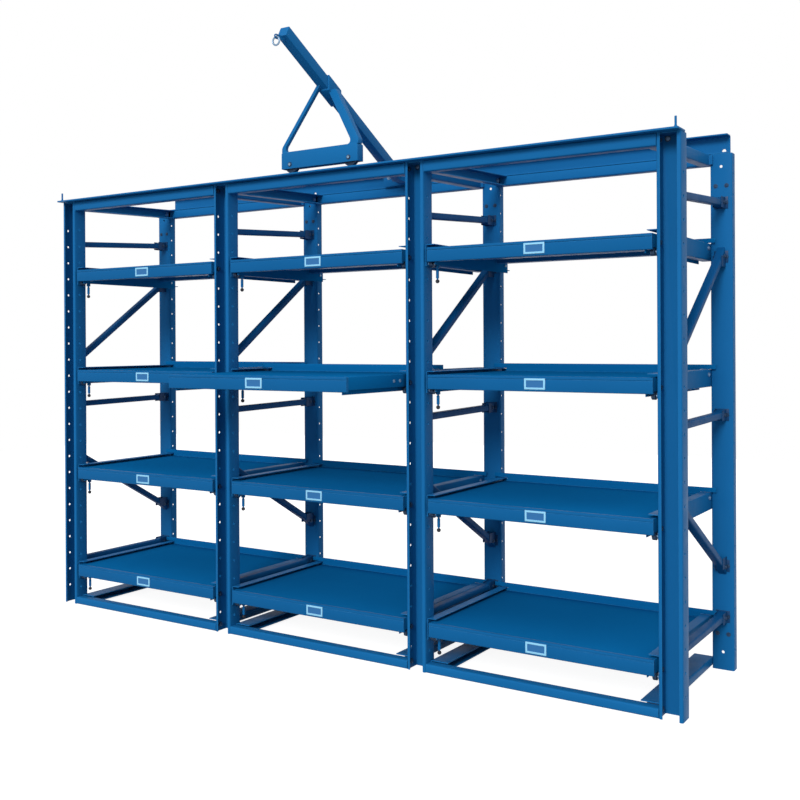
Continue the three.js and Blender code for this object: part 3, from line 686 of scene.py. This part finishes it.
def sideBeamParts(side):
    b = sideBeam

    def station(y):
        top = b["frontTop"] + b["rise"] * (y - b["y0"]) / (b["y1"] - b["y0"])
        return lambda x, z: (x, y, top + z)
    outline = liftedChannel(b["back"], b["width"], -b["height"], 0, b["wall"], side, b["bend"])
    parts = [coated(sweep("sideBeam", outline, [station(b["y0"]), station(b["y1"])]), 0.6)]
    top = b["frontTop"] + b["rise"]
    low, high = top - b["height"] + b["wall"], top - b["wall"]
    x0, x1 = sided(side, b["cleatX"], b["back"] + b["wall"])
    parts.append(coated(plate("cleat", x0, x1, b["y1"] - b["cleat"], b["y1"], low, high), 0.6))
    centre = (side * (b["back"] + b["wall"]), b["boltY"], (low + high) / 2)
    return parts + hexBolt("sideBeamBolt", centre, "x", side, zincSteel)


def rearPost(i):
    p, web = postRear, rack["rearWebY"]
    shell = alongZ("shell", uprightSheet(web + p["depth"], web, -1), 0, rack["rearTop"])
    cutters = [rod("hole", p["webHoleRadius"], (0, 0, z), "y", *p["webCut"], 24) for z in p["webHoleZ"]]
    parts = [coated(drilled(shell, cutters + flangeHoles(*p["holes"])), 0.5)]
    for side in baySides(i):
        parts += sideBeamParts(side)
    for shares in brace["shares"]:
        front, rear = [share * rack["rearTop"] for share in shares]
        # painted shade: each brace is in the darker brace paint
        parts.append(coated(braceMesh(front, rear), 0.5, 1, shadedBracePaint))
        parts += braceEndParts(front, rear)
    for z in p["boltZ"]:
        for dx in (-p["boltX"], p["boltX"]):
            parts += hexBolt("webBolt", (dx, web, z), "y", -1, boltSteel)
    piece(f"rearFrame{i + 1}", parts, "rack", [f"rear_frame_{i + 1}"], move=(rack["uprightX"][i], 0, 0))


for i in range(4):
    rearPost(i)
print("rear frames made")

# Beams between the posts, with their welded end plates
beams = {
    "base": {"low": 0, "high": 34, "y": -20, "depth": 40, "wall": 4, "node": "base_beam"},
    "top": {"low": 1932, "high": 1976, "y": -20, "depth": 40, "wall": 4, "node": "top_beam"},
    "tie": {"low": 1958, "high": 2000, "y": 625, "depth": 36, "wall": 4, "node": "rear_tie"},
}
beamSizes = {"half": 457.7, "bend": 4.5, "endPlate": 3, "endInset": 1.5}


def beamChannel(b, bend):
    half, side = b["wall"] / 2, 1 if b["depth"] > 0 else -1
    far, near = b["y"] + b["depth"], b["y"] + side * half
    low, high = b["low"] + half, b["high"] - half
    return foldedSheet([(far, low), (near, low), (near, high), (far, high)], b["wall"], bend)


for label, b in beams.items():
    half = beamSizes["half"]
    for k, x in enumerate(rack["bayX"]):
        parts = [coated(alongX("beam", beamChannel(b, beamSizes["bend"]), -half, half), 0.6)]
        for side in (-1, 1):
            x0, x1 = sided(side, half, half - beamSizes["endPlate"])
            y0, y1 = b["y"] + beamSizes["endInset"], b["y"] + b["depth"]
            parts.append(coated(plate("endPlate", x0, x1, y0, y1, b["low"] + 1, b["high"] - 1), 0.5))
        piece(f"{label}Beam{k + 1}", parts, "rack", [f"{b['node']}_{k + 1}"], move=(x, 0, 0))

# Front crane track with its stop pins
track = {"end": 1544, "y0": -54, "y1": 25, "bottom": 1976.3, "top": 1983.3, "pinX": 1530, "pinY": -34,
         "pinTop": 2021.3, "boltX": 24, "boltY": 2}
t = track
flat = plate("trackPlate", -t["end"], t["end"], t["y0"], t["y1"], t["bottom"], t["top"])
parts = [coated(flat, 1.2, 2)]
for side in (-1, 1):
    base, tip = t["top"], t["pinTop"]
    profile = [(0, base - 1), (9, base - 1), (8.5, base + 1.5), (5.5, base + 4), (4, base + 9), (4, tip - 1),
               (3, tip), (0, tip)]
    centre = (side * t["pinX"], t["pinY"], 0)
    parts.append((turned("stopPin", profile, centre, "z", 24, close=False), bluePaint))
for x in rack["uprightX"]:
    for dx in (-t["boltX"], t["boltX"]):
        parts += hexBolt("trackBolt", (x + dx, t["boltY"], t["top"]), "z", 1, zincSteel)
piece("frontTrack", parts, "rack", ["front_track"])

# Rear crane track with a hole over each rear post but the first
rearTrack = {"start": -1461.3, "end": 1524, "y": 675, "depth": -50, "low": 2000.3, "high": 2076.3, "wall": 5,
             "bend": 5.5, "holeRadius": 8, "holeZ": 2016.3, "holeCut": (660, 690)}
t = rearTrack
channel = alongX("rearTrack", beamChannel(t, t["bend"]), t["start"], t["end"])
cutters = [rod("hole", t["holeRadius"], (x, 0, t["holeZ"]), "y", *t["holeCut"], 20)
           for x in rack["uprightX"][1:]]
piece("rearTrack", [coated(drilled(channel, cutters), 0.7)], "rack", ["rear_track"])
print("beams and tracks made")

# Drawers
tray = {"panelHalf": 443, "panelHeight": 56, "panelDepth": 14, "sheet": 2.2, "bend": 2.6, "front": -20,
        "lip": 9.5, "groove": 3.5, "backing": 3, "backingSheet": 1.5, "floor": 4, "skirtX": 416.2,
        "skirt": 3.5, "skirtLow": -66, "y0": -6.4, "y1": 614, "railX": 442.7, "railWidth": 18,
        "railLow": -47.7, "rail": 4, "sideBoltY": (297, 340), "sideBoltZ": -24, "rearWall": 33,
        "stopHalf": 480, "stopLow": 15, "stop": 4, "underFlange": 10, "ribs": (54, 281, 508),
        "ribWidth": 46, "ribHeight": 26, "ribWall": 3, "pulledOut": 377}
rearRoller = {"radius": 15, "y": 590, "z": -35.7, "bevel": (2, 1.5), "pin": 5.4, "gap": 3, "pinInside": 8}
label = {"x": 8, "width": 82, "height": 40, "border": 7, "thickness": 3, "top": -8}


# Mirrors the right half of an outline to the left
def mirrored(half):
    return half + [(-a, b) for a, b in reversed(half)]


# Front panel under the deck's folded edge, with a shadow line between
def panelParts():
    t = tray
    half, wide = t["sheet"] / 2, t["panelHalf"]
    top, low = -half - t["lip"] - t["groove"], half - t["panelHeight"]
    y0, y1 = t["front"] + half, t["front"] + t["panelDepth"]
    folded = foldedSheet([(y1, low), (y0, low), (y0, top), (y1, top)], t["sheet"], t["bend"])
    # painted shade: the panel and deck lip are in the darker copy of the blue paint
    parts = [coated(alongX("panel", folded, -wide, wide), 0.4, 1, shadedPanelPaint)]
    lip = foldedSheet([(y0, -t["lip"]), (y0, -half), (y1, -half)], t["sheet"], t["bend"])
    parts.append(coated(alongX("deckLip", lip, -wide, wide), 0.4, 1, shadedPanelPaint))
    behind = t["front"] + t["backing"]
    parts.append((plate("grooveBacking", 2 - wide, wide - 2, behind, behind + t["backingSheet"],
                        top - 4, -t["sheet"]), bluePaint))
    for side in (-1, 1):
        x0, x1 = sided(side, wide, wide - 2)
        end = plate("panelEnd", x0, x1, t["front"] + 1, y1 - 0.4, -t["panelHeight"] + 1.5, -1.5)
        parts.append(coated(end, 0.4))
    return parts


# Deck folded down to its side rails and inner skirts, with bolts and rear rollers
def deckParts():
    t, w = tray, rearRoller
    x, s, under, r, low = t["skirtX"], t["skirt"], -t["floor"], t["railX"], t["railLow"]
    half = [(r, 0), (r, low), (r - t["railWidth"], low), (r - t["railWidth"], low + t["rail"]),
            (r - s, low + t["rail"]), (r - s, under), (x, under), (x, t["skirtLow"]), (x - s, t["skirtLow"]),
            (x - s, under)]
    parts = [coated(alongY("deck", mirrored(half), t["y0"], t["y1"]), 0.8, 2, deckPaint)]
    for side in (-1, 1):
        for y in t["sideBoltY"]:
            parts += hexBolt("sideBolt", (side * r, y, t["sideBoltZ"]), "x", side, zincSteel)
        centre = (0, w["y"], w["z"])
        start, end = side * (x + w["gap"]), side * r
        parts.append((rollerMesh("rearRoller", centre, w["radius"], start, end, side, w["bevel"]), darkSteel))
        pinEnds = sided(side, x - w["pinInside"], r + 0.2)
        parts.append((rod("rearPin", w["pin"], centre, "x", *pinEnds, rim=0.8), zincSteel))
    return parts


def trayParts():
    t = tray
    parts = panelParts() + deckParts()
    high = -t["floor"]
    low, thick, inner = high - t["ribHeight"], t["ribWall"], t["skirtX"] - t["skirt"] / 2
    for y in t["ribs"]:
        rib = [(y, high + 0.5), (y, low), (y + t["ribWidth"], low), (y + t["ribWidth"], low + thick),
               (y + thick, low + thick), (y + thick, high + 0.5)]
        parts.append(coated(alongX("rib", rib, -inner, inner), 0.6))
    # rear wall with an ear on each side that stops at the front posts
    x, ear = t["skirtX"] + 3, t["stopHalf"]
    wide, flange = t["railX"] - 0.3, t["underFlange"]
    half = [(wide, high), (wide, flange), (x, flange), (x, t["stopLow"]), (ear, t["stopLow"]),
            (ear, t["rearWall"])]
    wall = alongY("rearWall", mirrored(half), t["y1"] - t["stop"], t["y1"])
    parts.append(coated(wall, 1.0, 2, deckPaint))
    g, f = label, t["front"]
    x0, x1, z0, z1 = g["x"] - g["width"] / 2, g["x"] + g["width"] / 2, g["top"] - g["height"], g["top"]
    frameMesh = plate("labelFrame", x0, x1, f - g["thickness"], f + 0.5, z0, z1)
    i, e = g["border"], g["border"] - 1  # the card's edge lies 1 mm behind the frame
    window = plate("window", x0 + i, x1 - i, f - 8, f + 8, z0 + i, z1 - i)
    parts.append(coated(drilled(frameMesh, [window]), 0.7, 2, holderPaint))
    parts.append((plate("card", x0 + e, x1 - e, f - 1, f - 0.4, z0 + e, z1 - e), labelCard))
    return parts


# Twelve equal pieces: the first is built and the others copy its mesh
def pieceSet(name, node, body, slot, partsOf, placeOf):
    first, origin = None, None
    for row in range(4):
        for bay in range(3):
            place, tag = placeOf(bay, row), f"_{bay + 1}_{row + 1}"
            title = f"{name}{bay + 1}{row + 1}"
            if first is None:
                first, origin = piece(title, partsOf(), body + tag, [node + tag], slot, place), place
            else:
                copied(first, title, body + tag, [node + tag], [place[k] - origin[k] for k in range(3)])


pieceSet("drawer", "tray", "drawer", "blue_paint", trayParts, lambda bay, row: (
    rack["bayX"][bay], -tray["pulledOut"] if (bay, row) == (1, 1) else 0, rack["rowTops"][row]))
print("drawers made")

# Latch pulls: a rod with a grip and a ball
latch = {"radius": 4, "grip": 6, "gripTop": 29, "reach": 74, "topGap": 13.5, "ball": 8, "neck": 3.5,
         "steps": 28, "ballSteps": 10}


def latchParts():
    k = latch
    r, g, top, end = k["radius"], k["grip"], k["gripTop"], k["reach"]
    stem = [(0, -k["topGap"]), (r - 0.6, -k["topGap"]), (r, -k["topGap"] - 0.6), (r, -top), (g - 0.8, -top),
            (g, -top - 0.8), (g, 12 - end), (k["neck"], 11 - end), (k["neck"], 5 - end)]
    profile = [(k["neck"], 7 - end)]
    for j in range(1, k["ballSteps"] + 1):
        t = math.radians(40 + 140 * j / k["ballSteps"])
        profile.append((k["ball"] * math.sin(t), -end + k["ball"] * math.cos(t)))
    return [(turned("latchPull", stem, (0, 0, 0), "z", k["steps"], close=False), bluePaint),
            (turned("latchBall", profile, (0, 0, 0), "z", k["steps"], close=False), ballPlastic)]


pieceSet("latchPull", "latch", "latch_pull", "pale_metal", latchParts, lambda bay, row: (
    rack["uprightX"][bay] + barrel["x"], barrel["y"], rack["rowTops"][row] + runner["low"]))
print("latch pulls made")

# Travelling crane
crane = {"x": 66, "bogieLength": 386, "bogieBottom": 2000.3, "bogieTop": 2070.3, "bogieY0": -54,
         "bogieY1": -14, "wall": 4, "corner": 5, "axleInset": 44, "axleZ": 2017.6, "axle": 6,
         "wheelY": -34, "boom": 44, "boomWall": 4, "heightAtFront": 2345.3, "rearHeight": 2001.3,
         "tipY": -278, "tipPlate": 3, "tipInset": 1.5, "endY": 540.7, "endWall": 4, "armEnd": 602.7,
         "armLow": 2006.3, "armHeight": 40, "knee": 20, "fillet": 14, "footGap": 0.3, "footY": 3,
         "collarLength": 86, "collarY": 28, "collarWall": 5, "lugForward": 33, "lugDrop": 10.5,
         "lugRadius": 10, "lugHalf": 2.5, "lugEye": 6, "lugRoot": (30, 4)}
legs = {-1: {"width": 17, "depth": 18, "top": 16, "topY": -27},
        1: {"width": 38, "depth": 30, "top": 49, "topY": 14}}
slope = (crane["heightAtFront"] - crane["rearHeight"]) / (crane["armEnd"] + 20)
stretch = math.hypot(1, slope)


def boomZ(y):
    return crane["heightAtFront"] - slope * (y + 20)


def bogieParts():
    c = crane
    l, t, k = c["bogieLength"] / 2, c["wall"], c["corner"]
    y0, y1, low, high = c["bogieY0"], c["bogieY1"], c["bogieBottom"], c["bogieTop"]
    outer = [(-l, low), (l, low), (l, high - k), (l - k, high), (k - l, high), (-l, high - k)]
    inner = [(t - l, low - overrun), (l - t, low - overrun), (l - t, high - k), (l - k, high - t),
             (k - l, high - t), (t - l, high - k)]
    hollow = alongY("hollow", inner, y0 + t, y1 - t)
    parts = [coated(drilled(alongY("bogie", outer, y0, y1), [hollow]), 1.0, 2)]
    for side in (-1, 1):
        x = side * (l - c["axleInset"])
        parts.append((rod("axle", c["axle"], (x, 0, c["axleZ"]), "y", y0 - 5, y1 + 3, 24, 1.0), zincSteel))
        parts += hexBolt("axleBolt", (x, y0, c["axleZ"]), "y", -1, boltSteel)
    return parts


# Leg that leans back from the bogie's end to the boom, with a round inner foot
def legPart(side):
    c, leg = crane, legs[side]
    width, depth, top, topY = leg["width"], leg["depth"], leg["top"], leg["topY"]
    low, high = c["bogieTop"] + c["footGap"], boomZ(topY) - c["boom"] / 4
    end, k, r = c["bogieLength"] / 2 - c["footGap"], c["knee"], c["fillet"]
    footY = c["bogieY0"] + c["footY"] + depth / 2
    outer = [(end, low), (end, low + k - 6), (end - 1.5, low + k), (end - 5, low + k + 6), (top, high)]
    inner = [(top - width, high), (end - width - 3, low + k + 3)]
    inner += [(end - width - r + (r - 1) * math.cos(t), low + r - r * math.sin(t)) for t in
              [math.radians(a) for a in (0, 20, 40, 60, 80, 90)]]
    outline = [(side * x, z) for x, z in outer + inner]
    lean = (topY - footY) / (high - low)
    ends = (footY - depth / 2, footY + depth / 2)
    stations = [lambda x, z, y=y: (x, y + lean * (z - low), z) for y in ends]
    return coated(sweep("leg", outline, stations), 1.6, 2)


# Side view of the boom from y0 to y1; rise is half its upright height
def boomBand(y0, y1, rise):
    return [(y0, boomZ(y0) - rise), (y1, boomZ(y1) - rise), (y1, boomZ(y1) + rise), (y0, boomZ(y0) + rise)]


def boomParts():
    c = crane
    half = c["boom"] / 2
    lean, drop, rise = half * slope / stretch, half / stretch, half * stretch
    tipY, tipZ = c["tipY"], boomZ(c["tipY"])
    outer = [(tipY - lean, tipZ - drop), *boomBand(tipY, c["endY"], rise)[1:3], (tipY + lean, tipZ + drop)]
    inRise, in0, in1 = rise - c["boomWall"] * stretch, tipY - 40, c["endY"] - c["endWall"]
    hollow = alongX("hollow", boomBand(in0, in1, inRise), c["boomWall"] - half, half - c["boomWall"])
    reach, wide = c["collarLength"] / 2, half + c["collarWall"]
    band = boomBand(c["collarY"] - reach, c["collarY"] + reach, rise + c["collarWall"] * stretch)
    depth, inset = c["tipPlate"], c["tipInset"]
    tip = [(outer[0][0] + dy, outer[0][1] - dy * slope) for dy in (0, depth)]
    tip += [(outer[3][0] + dy, outer[3][1] - dy * slope) for dy in (depth, 0)]
    parts = [coated(drilled(alongX("boom", outer, -half, half), [hollow]), 3.0, 3),
             coated(alongX("tipPlate", tip, inset - half, half - inset), 0.8),
             coated(drilled(alongX("collar", band, -wide, wide), [hollow]), 1.2, 2)]
    arm = [(c["armEnd"], c["armLow"]), (c["armEnd"], c["armLow"] + c["armHeight"]),
           (c["endY"] - half, boomZ(c["endY"] - half)), (c["endY"] - 0.3, boomZ(c["endY"]) - inRise)]
    parts.append(coated(drilled(alongX("arm", arm, -half, half), [hollow]), 1.0))
    parts += [legPart(-1), legPart(1)]
    front, r, w = tipY - lean, c["lugRadius"], c["lugHalf"]
    lugY, lugZ = front - c["lugForward"], tipZ - drop - c["lugDrop"]
    turns = [math.pi / 2 + math.pi * j / 16 for j in range(17)]
    ear = [(lugY + r * math.cos(t), lugZ + r * math.sin(t)) for t in turns]
    ear += [(front + dy, boomZ(front + dy) - rise + 2) for dy in c["lugRoot"]]
    eye = rod("eye", c["lugEye"], (0, lugY, lugZ), "x", -12, 12, 24)
    parts.append(coated(drilled(alongX("lug", ear, -w, w), [eye, hollow]), 0.6))
    return parts


# Wheel with a bored hub; a hub wider than the rim stands out of dished faces
def wheelMesh(name, wheel, centre):
    radius, w, h, hub = wheel["radius"], wheel["width"] / 2, wheel["hubWidth"] / 2, wheel["hubRadius"]
    bore, edge = 6.6, min(3.0, w / 3) / 2
    face = [(hub - 1, h), (hub, h - 1), (hub, w), (hub + 2, w - 2), (radius - 9, w - 2), (radius - 7, w)]
    face = [(bore, h)] + face if h > w else [(bore, w)]
    face += [(radius - edge, w), (radius, w - edge)]
    return turned(name, [(r, -y) for r, y in face] + face[::-1], centre, "y", 48)


move = (crane["x"], 0, 0)
piece("craneBogie", bogieParts(), "crane", ["crane_bogie"], move=move)
piece("craneBoom", boomParts(), "crane", ["crane_frame"], move=move)
carriage = {"half": 115, "y0": 603, "y1": 609, "low": 2003.3, "high": 2058, "spread": 85, "axleZ": 2045,
            "axleEnd": 657}
wheels = {
    "front": {"radius": 34, "width": 20, "hubWidth": 30, "hubRadius": 13, "y": crane["wheelY"],
              "z": crane["axleZ"], "spread": crane["bogieLength"] / 2 - crane["axleInset"]},
    "rear": {"radius": 26, "width": 18, "hubWidth": 18, "hubRadius": 13, "y": 642, "z": carriage["axleZ"],
             "spread": carriage["spread"]},
}
for k, side in enumerate((-1, 1), 1):
    for end, wheel in wheels.items():
        mesh = wheelMesh(f"{end}Wheel", wheel, (side * wheel["spread"], wheel["y"], wheel["z"]))
        piece(f"{end}Wheel{k}", [(mesh, darkSteel)], f"{end}_wheel_{k}_body", [f"{end}_wheel_{k}"],
              "roller_steel", move)

c = carriage
flat = plate("carriage", -c["half"], c["half"], c["y0"], c["y1"], c["low"], c["high"])
parts = [coated(flat, 1.2, 2)]
for x in (-c["spread"], c["spread"]):
    axle = rod("rearAxle", crane["axle"], (x, 0, c["axleZ"]), "y", c["y1"] - 1, c["axleEnd"], 24, 1.0)
    parts.append((axle, zincSteel))
    parts += hexBolt("carriageBolt", (x, c["y0"], c["axleZ"]), "y", -1, zincSteel)
piece("craneCarriage", parts, "crane", ["crane_carriage"], move=move)

# Hook ring, in the middle of its solid's box
low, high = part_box("hook_ring")
ring = {"radius": 16, "wire": 3.5, "turns": 48, "sides": 14}
verts, faces, turns, sides = [], [], ring["turns"], ring["sides"]
for j in range(turns):
    t = 2 * math.pi * j / turns
    for k in range(sides):
        s = 2 * math.pi * k / sides
        reach = ring["radius"] + ring["wire"] * math.cos(s)
        verts.append((reach * math.cos(t), ring["wire"] * math.sin(s), reach * math.sin(t)))
        here, after, ahead = j * sides, (j + 1) % turns * sides, (k + 1) % sides
        faces.append([here + k, here + ahead, after + ahead, after + k])
centre = [(low[k] + high[k]) / 2 / mm for k in range(3)]
parts = [(toMesh("hookRing", verts, faces), zincSteel)]
piece("hookRing", parts, "hook", ["hook_ring"], "pale_metal", centre)
print("crane made")

# Floor, light and camera
studio = {"floorSize": 16.0, "floorColor": 0.30, "floorGlow": 0.90, "worldLight": 0.80, "sun": 2.15,
          "sunAngle": 20, "sunFrom": (0.18, -1.0, 0.50), "fill": 5, "fillSize": 2.5,
          "fillPlace": (3.0, -4.4, 2.2), "fillTarget": (0.6, 0.3, 1.0)}
scene = bpy.context.scene
scene.view_settings.view_transform = "Standard"


def emptyTree(owner, output):
    owner.use_nodes = True
    owner.node_tree.nodes.clear()
    return owner.node_tree, owner.node_tree.nodes.new(output)


floorMesh = bpy.data.meshes.new("floor")
h = studio["floorSize"] / 2
floorMesh.from_pydata([(-h, -h, 0), (h, -h, 0), (h, h, 0), (-h, h, 0)], [], [(0, 1, 2, 3)])
floor = linked("floor", floorMesh)
floorPaint = bpy.data.materials.new("paleFloor")
tree, out = emptyTree(floorPaint, "ShaderNodeOutputMaterial")
diffuse = tree.nodes.new("ShaderNodeBsdfDiffuse")
diffuse.inputs["Color"].default_value = (studio["floorColor"],) * 3 + (1,)
glow = tree.nodes.new("ShaderNodeEmission")
paths = tree.nodes.new("ShaderNodeLightPath")
seen = mathNode(tree, "MAXIMUM", paths.outputs["Is Camera Ray"], paths.outputs["Is Glossy Ray"])
seen = mathNode(tree, "MAXIMUM", seen, paths.outputs["Is Transmission Ray"])
tree.links.new(mathNode(tree, "MULTIPLY", seen, studio["floorGlow"]), glow.inputs["Strength"])
both = tree.nodes.new("ShaderNodeAddShader")
tree.links.new(diffuse.outputs[0], both.inputs[0])
tree.links.new(glow.outputs[0], both.inputs[1])
tree.links.new(both.outputs[0], out.inputs["Surface"])
floorMesh.materials.append(floorPaint)

scene.world = bpy.data.worlds.new("paleRoom")
tree, out = emptyTree(scene.world, "ShaderNodeOutputWorld")
sky = tree.nodes.new("ShaderNodeBackground")
sky.inputs["Color"].default_value = (1, 1, 1, 1)
paths = tree.nodes.new("ShaderNodeLightPath")
seen = mathNode(tree, "MAXIMUM", paths.outputs["Is Camera Ray"], paths.outputs["Is Transmission Ray"])
tree.links.new(rangeNode(tree, seen, (0.0, 1.0), (studio["worldLight"], 1.0)), sky.inputs["Strength"])
tree.links.new(sky.outputs[0], out.inputs["Surface"])


def addLamp(name, kind, energy, aim):
    lamp = linked(name, bpy.data.lights.new(name, kind))
    lamp.data.energy = energy
    lamp.rotation_euler = aim.to_track_quat("Z", "Y").to_euler()
    return lamp


sun = addLamp("keyLight", "SUN", studio["sun"], Vector(studio["sunFrom"]))
sun.data.angle = math.radians(studio["sunAngle"])
fillPlace = Vector(studio["fillPlace"])
area = addLamp("fillLight", "AREA", studio["fill"], fillPlace - Vector(studio["fillTarget"]))
area.data.size = studio["fillSize"]
area.location = fillPlace

view = {"place": (2585.9, -3406.1, 1267.2), "yaw": 0.57516, "pitch": -0.00198, "roll": -0.00512,
        "focalPixels": 1025.8, "shiftPixels": (-9.1, -53.5), "pixels": 800, "sensor": 36, "reach": 100}
camera = bpy.data.cameras.new("camera")
camera.sensor_width = view["sensor"]
camera.lens = view["focalPixels"] / view["pixels"] * view["sensor"]
camera.shift_x = -view["shiftPixels"][0] / view["pixels"]
camera.shift_y = view["shiftPixels"][1] / view["pixels"]
camera.clip_end = view["reach"]
eye = linked("camera", camera)
(cy, sy), (cp, sp), (cr, sr) = [(math.cos(view[k]), math.sin(view[k])) for k in ("yaw", "pitch", "roll")]
forward = Vector((-sy * cp, cy * cp, sp))
right = Vector((cy, sy, 0))
up = right.cross(forward)
right, up = cr * right + sr * up, -sr * right + cr * up
turn = Matrix((right, up, -forward)).transposed().to_4x4()
eye.matrix_world = Matrix.Translation(Vector(view["place"]) * mm) @ turn
scene.camera = eye
print("stage set")
